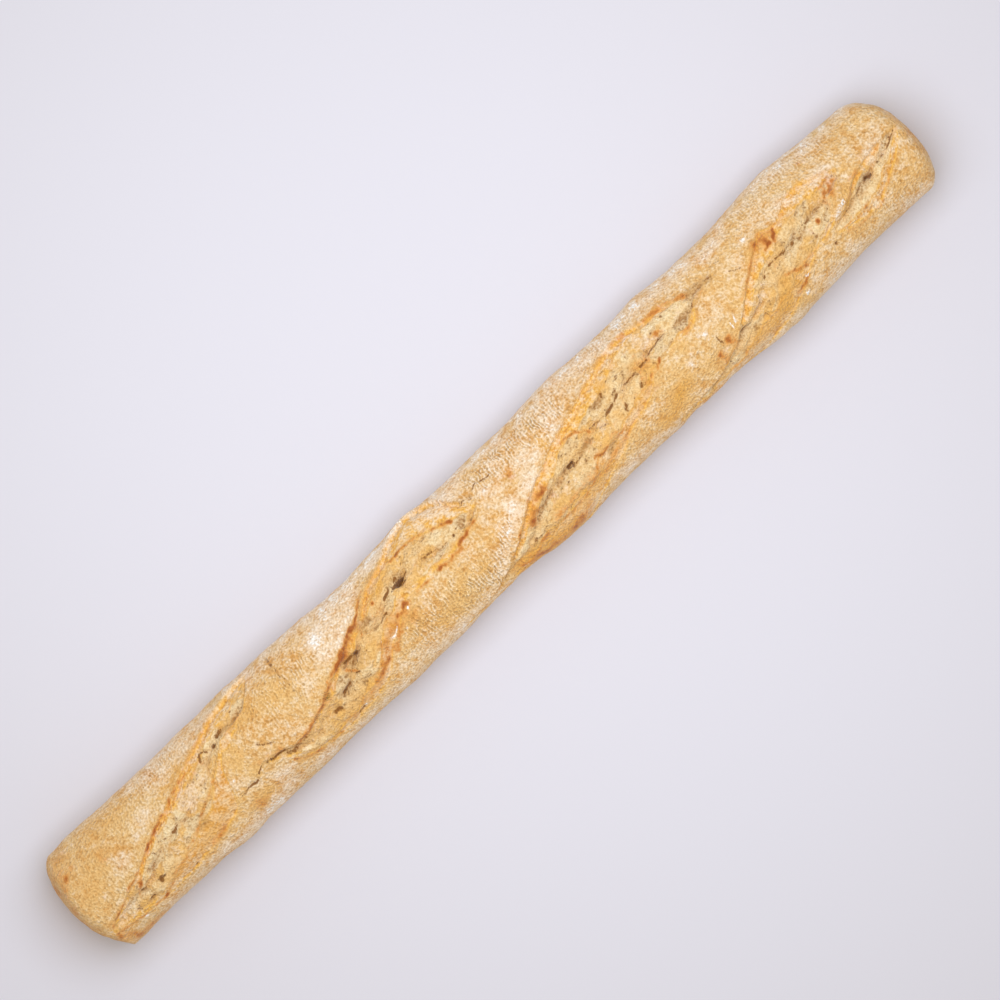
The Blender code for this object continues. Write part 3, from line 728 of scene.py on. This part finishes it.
        (8, -0.6, (206, 13), (211, 12)), (8, -0.8, (225, 11), (231, 10)), (8, -0.6, (252, 2), (258, 2)),
        (7, -0.6, (-142, 27), (-138, 27)), (6, -0.4, (245, -15)), (8, -0.3, (8, 10), (30, 13)),
        (14, 0.3, (-262, 0), (-250, 10)), (12, 0.3, (-242, 22), (-222, 22)),
        (8, 0.4, (-206, 13), (-192, 17)), (9, 0.5, (-156, 14), (-148, 14)), (7, 0.5, (-164, -9)),
        (6, 0.4, (-52, 5)), (9, 0.6, (20, -20), (30, -17)), (8, 0.3, (46, -16)),
        (9, 0.4, (68, -17), (74, -16)), (8, 0.4, (128, -18)), (9, 0.4, (186, -26), (192, -26)),
        (8, 0.4, (156, -22)), (9, -0.4, (-168, 24), (-162, 24)), (9, -0.4, (-262, -17), (-254, -17)),
        (7, -0.5, (24, 0), (30, 0)), (7, -0.4, (70, -4)), (8, -0.4, (30, -15), (42, -13)),
        (6, -0.4, (97, 3)),
    ),
}


@dataclass
class Loaf:
    """The dressed loaf: its form, its relief and what its finish reads."""

    # The crown is nearer the camera than the widest line, so places read on it are drawn in by this
    SEEN = 0.99
    # How far across the loaf a score runs for each millimetre along it
    TWIST = 0.43
    CRUST_WAVES = ((46.0, 1.0), (17.0, 0.4), (6.5, 0.16), (2.6, 0.1))
    CRUMB_WAVES = ((9.0, 0.9), (4.2, 0.45))
    # Swells and waists of each flank: x, height and spread
    FAR_SWELLS = (
        (-250, 1.4, 14), (-182, 1.4, 14), (-75, -1.5, 18), (-30, 1.1, 11),
        (62, 1.3, 20), (122, 1.5, 10), (210, 2.6, 22),
    )
    NEAR_SWELLS = ((-188, 0.7, 10), (-78, 1.3, 14), (22, 2.7, 22), (107, -1.1, 6), (172, 1.9, 22))
    # Lumps and hollows: x, sideways, length, width, degrees from the loaf's length, height
    LUMPS = (
        (227, -1.0, 15, 8.5, 45, 2.6),  # tongue of crust left between two scores
        (222, -9.5, 7, 4, 20, -1.6),
        (-52, 10, 6.4, 3, 10, -2.6),  # deep hole with lumps of crumb round it
        (-60, 14, 8, 6, 20, 1.1),
        (-40, 13, 10, 6, 0, 1.2),
        (-49, 4.5, 9, 5, 0, 1.0),
        (45, -7.5, 6, 3, 15, -2.0),
        (57, 1.8, 13, 3.4, -18, 1.3),  # flap across the third opening
        (40, -18.5, 34, 3.4, 6, 1.2),  # ridge of older crust along its heel
        (66, -11, 17, 3.2, 10, 1.1),
        (-73, -5.5, 14, 3.4, 20, 0.9),
        (188, 9.5, 8, 4, 10, 1.2),
        (-97, -1.2, 9, 3, 25, -1.2),
        (245, -4.6, 6, 3.4, 10, -1.4),
    )
    # How floury the loaf is along its length
    FLOURED = ((-262, 0.35), (-200, 0.7), (-60, 0.8), (10, 1.1), (130, 0.9))
    # How closely the mesh's columns stand on the sole, and what a side, the top and a score add
    CROWDING = (0.2, 0.5, 0.45, 1.3)
    # Distances around over which the sole turns into the side, and the side into the top
    SIDE = (66.0, 50.0)
    TOP = (44.0, 32.0)

    length: float = 550.0
    rows: int = 750
    columns: int = 132
    cap_rows: int = 28
    climb: float = 1.7  # turns that a column makes round the loaf, so that it runs with the scores
    relief_ends: tuple[float, float] = (48.0, 60.0)
    left_cap: Cap = Cap(far=(12, 2.2), near=(12, 1.15))
    right_cap: Cap = Cap(far=(19, 2), near=(12.5, 2))
    section: Section = field(default_factory=Section)
    scores: tuple[Score, ...] = (FIRST_SCORE, SECOND_SCORE, THIRD_SCORE, FOURTH_SCORE, FIFTH_SCORE)

    def width(self, x: Array, swells: tuple[tuple[float, ...], ...]) -> Array:
        """Distance from the crown line to a flank.

        Args:
            x: places along the loaf.
            swells: place, height and spread of each swell of that flank.

        Returns:
            The distance at each place.
        """
        bumps = sum(height * ridge(x - place, spread) for place, height, spread in swells)
        return self.section.half_width + bumps

    def crowding(self, x: Array, around: Array) -> Array:
        """How closely the mesh's columns stand, which is closest inside the scores and by the cracks.

        Args:
            x: places along the loaf.
            around: distances around.

        Returns:
            One row for each x, with one value for each distance around.
        """
        sole, side, top, score = self.CROWDING
        out = np.abs(around)
        level = sole + side * smoothstep(*self.SIDE, out) + top * smoothstep(*self.TOP, out)
        crowd = np.tile(level, (len(x), 1))
        for cut in self.scores:
            ear, _, _, _, heel = cut.edges(x, self.section)
            within = smoothstep(-5, -1, around - heel[:, None]) * smoothstep(-6, -2, ear[:, None] - around)
            crowd += score * within * cut.presence(x)[:, None]
        margin = 9.0
        for _, _, *places in TRACES[Trace.CRACK] + TRACES[Trace.PORE]:
            route = self.route(places)
            near = np.abs(x - route[:, 0].mean()) < margin + np.ptp(route[:, 0]) / 2
            spots = np.stack(np.meshgrid(x[near], around, indexing="ij"), axis=-1).reshape(-1, 2)
            close = smoothstep(margin, 2, self.distance(spots, route)).reshape(-1, len(around))
            crowd[near] = np.maximum(crowd[near], level + score * close)
        return crowd

    def column_places(self, along: Array, turned: Array) -> Array:
        """Spaces the mesh's columns round the loaf, as closely as each place asks for.

        Args:
            along: how far along the loaf each vertex is, from 0 to 1.
            turned: where each vertex's column stands in their order, from 0 to 1.

        Returns:
            Each vertex's distance around.
        """
        stops, samples = 480, 720
        girth = self.section.girth
        around = np.linspace(-girth / 2, girth / 2, samples)
        crowd = self.crowding(np.linspace(-0.5, 0.5, stops) * self.length, around)
        order = np.cumsum(crowd, axis=1)
        order = (order - order[:, :1]) / (order[:, -1:] - order[:, :1])
        even = np.linspace(0, 1, samples)
        table = np.array([np.interp(even, row, around) for row in order])
        i = np.clip(along * (stops - 1), 0, stops - 1.001)
        j = np.clip(turned * (samples - 1), 0, samples - 1.001)
        i0, j0 = i.astype(int), j.astype(int)
        u, v = i - i0, j - j0
        low = table[i0, j0] * (1 - v) + table[i0, j0 + 1] * v
        high = table[i0 + 1, j0] * (1 - v) + table[i0 + 1, j0 + 1] * v
        return low * (1 - u) + high * u

    def smooth_form(self, share: Array, turn: Array) -> Skin:
        """Places every vertex on the loaf before its relief.

        Args:
            share: each vertex's row, from 0 at the left tip to 1 at the right tip.
            turn: each vertex's column, as a share of a full turn.

        Returns:
            The crust with no relief yet.
        """
        cap = self.cap_rows / self.rows
        along = np.clip((share - cap) / (1 - 2 * cap), 0, 1)
        out = np.sin(np.clip(np.minimum(share, 1 - share) / cap, 0, 1) * math.pi / 2)
        turned = turn + self.climb * (along - 0.5)
        around = self.column_places(along, turned - np.floor(turned))
        outward, height = self.section.place(around)
        upward = (height - self.section.widest_height) / self.section.crown_rise
        norm = np.maximum(np.hypot(outward, upward), 1e-6)
        left_depth, left_power = self.left_cap.shape(outward / norm, upward)
        right_depth, right_power = self.right_cap.shape(outward / norm, upward)
        on_left = along < 0.5
        power = np.where(on_left, left_power, right_power)
        depth = np.where(on_left, left_depth, right_depth)
        swell = depth * (1 - out**power) ** (1 / power)
        start = left_depth - self.length / 2
        stop = self.length / 2 - right_depth
        x = start + along * (stop - start) + np.where(on_left, -swell, swell)
        side = np.where(outward > 0, self.width(x, self.FAR_SWELLS), self.width(x, self.NEAR_SWELLS))
        low = self.section.widest_height
        points = np.column_stack((x, out * outward * side, low + out * (height - low)))
        return Skin(x=x, around=around * out, points=points, relief=np.zeros(len(x)))

    def lump(self, skin: Skin) -> None:
        """Raises the lumps and sinks the hollows.

        Args:
            skin: the crust, whose relief this changes.
        """
        for place, side, length, width, degrees, height in self.LUMPS:
            turn = math.radians(degrees)
            ahead = skin.x - place * self.SEEN
            beside = skin.around - self.section.around_at(np.array(side * self.SEEN))
            along = ahead * math.cos(turn) + beside * math.sin(turn)
            across = beside * math.cos(turn) - ahead * math.sin(turn)
            skin.relief += height * np.exp(-((2 * along / length) ** 4) - (2 * across / width) ** 2)

    def trace(self, skin: Skin) -> None:
        """Adds the small traces: scorched lines, pores, cracks, pits, blisters and patches of flour.

        Args:
            skin: the crust, whose relief and masks this changes.
        """
        closed = 1 - 0.85 * np.clip(skin.masks[Mask.OPENED] + skin.masks[Mask.TORN], 0, 1)
        flat = np.column_stack((skin.x, skin.around, np.zeros(len(skin.x))))
        wavers = ((3.4, 0.45), (1.5, 0.25))
        bent = flat[:, :2] + np.column_stack([waves(flat, wavers, seed) for seed in (61, 71)])
        uneven = 1 + waves(flat, ((3.0, 0.4), (1.3, 0.3)), seed=81)
        for kind, rows in TRACES.items():
            mask, lift = kind.value
            for width, strength, *places in rows:
                route = self.route(places)
                spot = strength * ridge(self.distance(bent, route), width / 2)
                if kind is Trace.DUST:
                    spot *= 0.5 * closed
                if kind in (Trace.SCORCH, Trace.WRINKLE):
                    spot *= uneven
                skin.add(mask, spot)
                skin.relief += lift * spot * min(1.0, width / 2)

    def route(self, places: list[tuple[float, float]]) -> Array:
        """Lays a trace's places on the crust.

        Args:
            places: x and sideways place of each point.

        Returns:
            One row for each point: x and distance around.
        """
        route = np.array(places, float) * self.SEEN
        route[:, 1] = self.section.around_at(route[:, 1])
        return route

    @staticmethod
    def distance(places: Array, route: Array) -> Array:
        """Distance over the crust from a route.

        Args:
            places: x and distance around of each vertex.
            route: x and distance around of the route's points; one point makes a spot.

        Returns:
            Each vertex's distance from the nearest part of the route.
        """
        nearest = np.hypot(*(places - route[0]).T)
        for start, stop in zip(route[:-1], route[1:]):
            run = stop - start
            t = np.clip((places - start) @ run / (run @ run), 0, 1)
            nearest = np.minimum(nearest, np.hypot(*(places - start - t[:, None] * run).T))
        return nearest

    def weather(self, skin: Skin) -> None:
        """Spreads thin flour over the crust that was never opened, and browns the tips and the sole.

        Args:
            skin: the crust, whose masks this changes.
        """
        opened = np.clip(skin.masks[Mask.OPENED] + skin.masks[Mask.TORN], 0, 1)
        # Flour drifts in broad and small patches, and it is thickest on the flanks
        drift = 0.30 + 0.2 * soft_noise(skin.points, 28.0, 41) + 0.14 * soft_noise(skin.points, 9.0, 42)
        flank = smoothstep(22, 36, np.abs(skin.around)) * (1 + 1.2 * soft_noise(skin.points, 4.0, 44))
        drift += (0.32 + 0.1 * np.sign(skin.around)) * flank
        drift *= np.interp(skin.x, *np.transpose(self.FLOURED))
        skin.add(Mask.FLOUR, np.clip(drift, 0, 1) * (1 - 0.95 * opened))
        tip = smoothstep(9, 1, self.length / 2 - np.abs(skin.x))
        tip *= 0.35 + 0.3 * soft_noise(skin.points, 2.6, 43)
        sole = smoothstep(58, 72, np.abs(skin.around)) * 0.45
        skin.add(Mask.BROWNED, tip + sole)

    def carve(self, skin: Skin) -> None:
        """Gives the crust its relief, which fades out above the sole, and fills its masks.

        Args:
            skin: the crust, whose relief and masks this changes.
        """
        skin.relief += waves(skin.points, self.CRUST_WAVES, seed=3)
        for score in self.scores:
            score.cut(skin, self.section)
        self.lump(skin)
        self.weather(skin)
        self.trace(skin)
        skin.relief *= 1 - smoothstep(*self.relief_ends, np.abs(skin.around))

    def build(self) -> bpy.types.Object:
        """Makes the loaf's mesh from a ball of rows and columns.

        Returns:
            The finished, undressed object.
        """
        ball = bmesh.new()
        bmesh.ops.create_uvsphere(ball, u_segments=self.columns, v_segments=self.rows, radius=1)
        mesh = bpy.data.meshes.new("crust")
        ball.to_mesh(mesh)
        ball.free()
        count = len(mesh.vertices)
        unit = np.empty(count * 3)
        mesh.vertices.foreach_get("co", unit)
        unit = unit.reshape(count, 3)
        share = np.arccos(np.clip(unit[:, 2], -1, 1)) / math.pi
        skin = self.smooth_form(share, np.arctan2(unit[:, 1], unit[:, 0]) / (2 * math.pi))
        mesh.vertices.foreach_set("co", skin.points.ravel())
        mesh.update()
        normals = np.empty(count * 3)
        mesh.vertex_normals.foreach_get("vector", normals)
        self.carve(skin)
        points = skin.points + normals.reshape(count, 3) * skin.relief[:, None]
        low, high = points.min(axis=0), points.max(axis=0)
        points -= ((low[0] + high[0]) / 2, (low[1] + high[1]) / 2, low[2])
        mesh.vertices.foreach_set("co", (points * MM).ravel())
        for mask in Mask:
            layer = mesh.attributes.new(mask.value, "FLOAT", "POINT")
            layer.data.foreach_set("value", skin.masks[mask])
        mesh.update()
        mesh.shade_smooth()
        crust = bpy.data.objects.new("crust", mesh)
        bpy.context.scene.collection.objects.link(crust)
        return crust


@dataclass(frozen=True)
class Layer:
    """A colour laid over those before it, where a sum of weighted patterns passes from low to high."""

    colour: str
    sources: tuple[tuple[str, float], ...]
    low: float
    high: float
    most: float = 1.0


@dataclass(frozen=True)
class BakedCrust:
    """Baked wheat crust: dull and dry, golden where it is thin, with flour caught in its grain."""

    golden: str = "E6B46E"
    layers: tuple[Layer, ...] = (
        # Crust that rose slowly is paler in soft blotches, and it is darker in scattered flecks
        Layer("EDC98C", (("blotch", 0.5), ("mottle", 0.7), ("clump", 0.3)), 0.62, 0.92),
        Layer("D89A4C", (("mottle", -1.0), ("clump", -0.5), ("blotch", -0.6)), -0.97, -0.74, 0.65),
        # Inside a score the thin new crust is a clearer gold, deepest near the heel, with pale flecks
        Layer("F4BC5A", (("opened", 1.0),), 0.1, 0.7),
        Layer("E4A048", (("opened", 1.0), ("mottle", 0.6)), 1.2, 1.7),
        Layer("E4A24A", (("opened", 1.0), ("mottle", -1.0), ("clump", -0.6)), 0.25, 0.5, 0.85),
        Layer("F8DCB0", (("opened", 0.3), ("mottle", 1.4), ("clump", 0.6)), 1.15, 1.6),
        # The crumb that tore last is cream, with golden sheets; its pits and fine holes get painted shade,
        # grey-beige and darker
        Layer("E9BC78", (("torn", 1.0),), 0.1, 0.7),
        Layer("F6DDAC", (("torn", 1.0), ("mottle", 0.8), ("clump", 0.5)), 1.45, 2.0),
        Layer("C9A16C", (("pit_shade", 1.0), ("clump", 0.5)), 0.4, 1.3, 0.85),
        Layer("A8743A", (("torn", 0.1), ("pit_shade", 0.4), ("clump", -1.2), ("grain", 0.3)), 0.0, 0.2, 0.6),
        # Where no flour lies the crust is a clear gold
        Layer("E9AE52", (("bare", 1.0), ("mottle", 0.4)), 0.25, 1.2, 0.9),
        # What stands proud browns first, in broken flecks
        Layer("DC9342", (("browned", 1.0), ("mottle", 1.0), ("clump", 1.2)), 1.3, 1.9, 0.9),
        Layer("A4541A", (("browned", 1.0), ("mottle", 1.0), ("clump", 1.2)), 1.8, 2.5, 0.88),
        # A veil of flour lies over the old crust, thicker in some grains than in others, with white clods
        Layer(
            "FBE6CB",
            (
                ("flour", 0.6), ("browned", -0.4), ("bare", -0.6),
                ("mottle", 0.75), ("clump", 0.7), ("wrinkle", 0.3),
            ),
            0.8, 1.35, 0.8,
        ),
        Layer("FFFAF0", (("flour", 1.2), ("clump", 1.6)), 1.9, 2.4),
        # Painted shade inside open pores and cracks
        Layer("8A5518", (("pore_shade", 1.0), ("clump", 1.4), ("grain", -0.3)), 0.9, 1.3, 0.92),
    )
    # Sizes of the patterns in millimetres. Flour is far finer than the clump and the grain, which
    # are drawn as coarse as the eye can still make out from a step away
    noises: tuple[tuple[str, float], ...] = (("blotch", 22.0), ("mottle", 4.2), ("clump", 1.3))
    grain: float = 1.25
    ripple: float = 1.8
    # Painted shade in the grain and in the wrinkles' grooves, and painted light on the grains' tops: the
    # sum that sets the tint
    shade: tuple[tuple[str, float], ...] = (("grain", -0.3), ("clump", 0.65), ("wrinkle", 0.2))
    # Painted shade makes the crust darker and warmer between the grains, and painted light makes the
    # grains' tops paler
    shade_range: tuple[float, float] = (-0.1, 0.4)
    grain_shade: str = "C9BFB0"
    grain_light: str = "F1F7FF"
    # The painted shade tints darken, and this lifts the colour back
    lift: float = 1.3
    # The finest relief, and how many millimetres it rises as the patterns' sum grows by 1
    height: tuple[tuple[str, float], ...] = (("grain", -0.8), ("clump", 1.0), ("wrinkle", 0.4))
    bump: float = 0.8
    # A dry crust has no gloss to speak of
    roughness: float = 0.8
    gloss: float = 0.25
    # Loose flour scatters light at a grazing angle, so the flanks look as pale as the top
    down: float = 0.25
    down_roughness: float = 0.5
    down_tint: str = "FFF4E4"

    @staticmethod
    def total(
        tree: bpy.types.NodeTree,
        patterns: dict[str, bpy.types.NodeSocket],
        sources: tuple[tuple[str, float], ...],
    ) -> bpy.types.NodeSocket:
        """Adds up patterns, each times its weight.

        Args:
            tree: the material's node tree.
            patterns: the outputs that may be named.
            sources: name and weight of each pattern in the sum.

        Returns:
            The sum's output.
        """
        total = 0.0
        for name, weight in sources:
            links = {0: patterns[name], 1: weight, 2: total}
            total = add_node(tree, "Math", links, operation="MULTIPLY_ADD").outputs[0]
        return total

    def patterns(self, tree: bpy.types.NodeTree) -> dict[str, bpy.types.NodeSocket]:
        """Adds the patterns that the layers read.

        Args:
            tree: the material's node tree.

        Returns:
            Each pattern's output by name: the masks on the mesh, noises, grains and wrinkles.
        """
        place = add_node(tree, "TexCoord").outputs["Object"]
        # Turned away from the loaf's own axes, so that no row of grains runs along it
        turned = add_node(tree, "Mapping", {"Vector": place, "Rotation": (0.5, 0.4, 0.6)}).outputs["Vector"]
        found = {
            mask.value: add_node(tree, "Attribute", attribute_name=mask.value).outputs["Fac"]
            for mask in Mask
        }
        for name, size in self.noises:
            links = {"Vector": turned, "Scale": per_metre(size), "Detail": 2}
            found[name] = add_node(tree, "TexNoise", links).outputs["Fac"]
        links = {"Vector": turned, "Scale": per_metre(self.grain)}
        found["grain"] = add_node(tree, "TexVoronoi", links).outputs["Distance"]
        # A wave texture at a scale of 1 repeats at this length
        wave_period = math.pi / 10
        links = {
            "Vector": place, "Scale": per_metre(self.ripple) * wave_period,
            "Distortion": 9.0, "Detail": 2.0, "Detail Scale": 1.1,
        }
        ripple = add_node(tree, "TexWave", links).outputs["Fac"]
        swing = add_node(tree, "Math", {0: ripple, 1: 0.5}, operation="SUBTRACT").outputs[0]
        links = {0: swing, 1: found["wrinkled"]}
        found["wrinkle"] = add_node(tree, "Math", links, operation="MULTIPLY").outputs[0]
        return found

    def material(self) -> bpy.types.Material:
        """Builds the crust's nodes.

        Returns:
            The material.
        """
        material = bpy.data.materials.new("baked_wheat_crust")
        material.use_nodes = True
        tree = material.node_tree
        shader = tree.nodes["Principled BSDF"]
        patterns = self.patterns(tree)
        colour = linear(self.golden)
        for layer in self.layers:
            links = {
                "Value": self.total(tree, patterns, layer.sources),
                "From Min": layer.low, "From Max": layer.high, "To Max": layer.most,
            }
            share = add_node(tree, "MapRange", links).outputs["Result"]
            # Inputs 6 and 7 of a Mix node are its colours, and output 2 is what they give
            links = {0: share, 6: colour, 7: linear(layer.colour)}
            colour = add_node(tree, "Mix", links, data_type="RGBA").outputs[2]
        # Painted shade between the grains and painted light on their tops tint the colour, which is then
        # lifted back
        low, high = self.shade_range
        links = {"Value": self.total(tree, patterns, self.shade), "From Min": low, "From Max": high}
        share = add_node(tree, "MapRange", links).outputs["Result"]
        links = {0: share, 6: linear(self.grain_shade), 7: linear(self.grain_light)}
        tint = add_node(tree, "Mix", links, data_type="RGBA").outputs[2]
        colour = add_node(tree, "VectorMath", {0: colour, 1: tint}, operation="MULTIPLY").outputs["Vector"]
        links = {0: colour, "Scale": self.lift}
        colour = add_node(tree, "VectorMath", links, operation="SCALE").outputs["Vector"]
        tree.links.new(colour, shader.inputs["Base Color"])
        links = {"Height": self.total(tree, patterns, self.height), "Distance": self.bump * MM}
        tree.links.new(add_node(tree, "Bump", links).outputs["Normal"], shader.inputs["Normal"])
        shader.inputs["Roughness"].default_value = self.roughness
        shader.inputs["Specular IOR Level"].default_value = self.gloss
        shader.inputs["Sheen Weight"].default_value = self.down
        shader.inputs["Sheen Roughness"].default_value = self.down_roughness
        shader.inputs["Sheen Tint"].default_value = linear(self.down_tint)
        return material


@dataclass(frozen=True)
class MattPaper:
    """Matt pale paper: with no gloss, only the loaf's soft shadow shows on it."""

    colour: str = "DDDCE3"
    roughness: float = 0.9
    gloss: float = 0.1

    def material(self) -> bpy.types.Material:
        """Builds the paper's nodes.

        Returns:
            The material.
        """
        material = bpy.data.materials.new("matt_paper")
        material.use_nodes = True
        shader = material.node_tree.nodes["Principled BSDF"]
        shader.inputs["Base Color"].default_value = linear(self.colour)
        shader.inputs["Roughness"].default_value = self.roughness
        shader.inputs["Specular IOR Level"].default_value = self.gloss
        return material


@dataclass
class Studio:
    """Plain pale floor, soft light and a camera that looks straight down."""

    frame_width: float = 480.0  # what the picture takes in at the height of the loaf's widest line
    camera_height: float = 2400.0
    sensor: float = 36.0
    turn: float = math.radians(-43.44)
    aim: tuple[float, float] = (10.6, 4.1)
    floor_size: float = 6000.0
    paper: MattPaper = MattPaper()
    softbox_size: float = 600.0
    softbox_place: tuple[float, float, float] = (50.0, 65.0, 620.0)
    softbox_watts: float = 3.45
    softbox_colour: str = "EBF1FF"
    room_colour: str = "FFF7EC"
    room_strength: float = 0.59

    def camera(self) -> None:
        """Looks straight down, turned so that the loaf lies from lower left to upper right."""
        data = bpy.data.cameras.new("overhead")
        data.sensor_width = self.sensor
        data.lens = self.sensor * (self.camera_height - Section.widest_height) / self.frame_width
        data.clip_end = 20.0
        camera = bpy.data.objects.new("overhead", data)
        camera.location = (self.aim[0] * MM, self.aim[1] * MM, self.camera_height * MM)
        camera.rotation_euler = (0, 0, self.turn)
        bpy.context.scene.collection.objects.link(camera)
        bpy.context.scene.camera = camera

    def floor(self) -> None:
        """Lays the paper under the loaf."""
        sheet = bmesh.new()
        bmesh.ops.create_grid(sheet, x_segments=1, y_segments=1, size=self.floor_size * MM / 2)
        mesh = bpy.data.meshes.new("floor")
        sheet.to_mesh(mesh)
        sheet.free()
        floor = bpy.data.objects.new("floor", mesh)
        bpy.context.scene.collection.objects.link(floor)
        mesh.materials.append(self.paper.material())

    def light(self) -> None:
        """Hangs one broad softbox over the loaf, a little towards its far side, in a pale room."""
        data = bpy.data.lights.new("softbox", "AREA")
        data.shape = "SQUARE"
        data.size = self.softbox_size * MM
        data.energy = self.softbox_watts
        data.color = linear(self.softbox_colour)[:3]
        softbox = bpy.data.objects.new("softbox", data)
        softbox.location = [place * MM for place in self.softbox_place]
        bpy.context.scene.collection.objects.link(softbox)
        world = bpy.data.worlds.new("pale_room")
        world.use_nodes = True
        background = world.node_tree.nodes["Background"]
        background.inputs["Color"].default_value = linear(self.room_colour)
        background.inputs["Strength"].default_value = self.room_strength
        bpy.context.scene.world = world
        bpy.context.scene.view_settings.view_transform = "Standard"

    def build(self) -> None:
        """Sets up floor, light and camera."""
        self.floor()
        self.light()
        self.camera()


def main() -> None:
    """Builds the loaf and the studio, in order."""
    logging.basicConfig(level=logging.INFO, format="%(message)s")
    crust = Loaf().build()
    crust.data.materials.append(BakedCrust().material())
    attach(crust, "root")
    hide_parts("loaf")
    log.info("crust: %d vertices", len(crust.data.vertices))
    Studio().build()
    log.info("studio: floor, softbox and overhead camera")


if __name__ == "__main__":
    main()
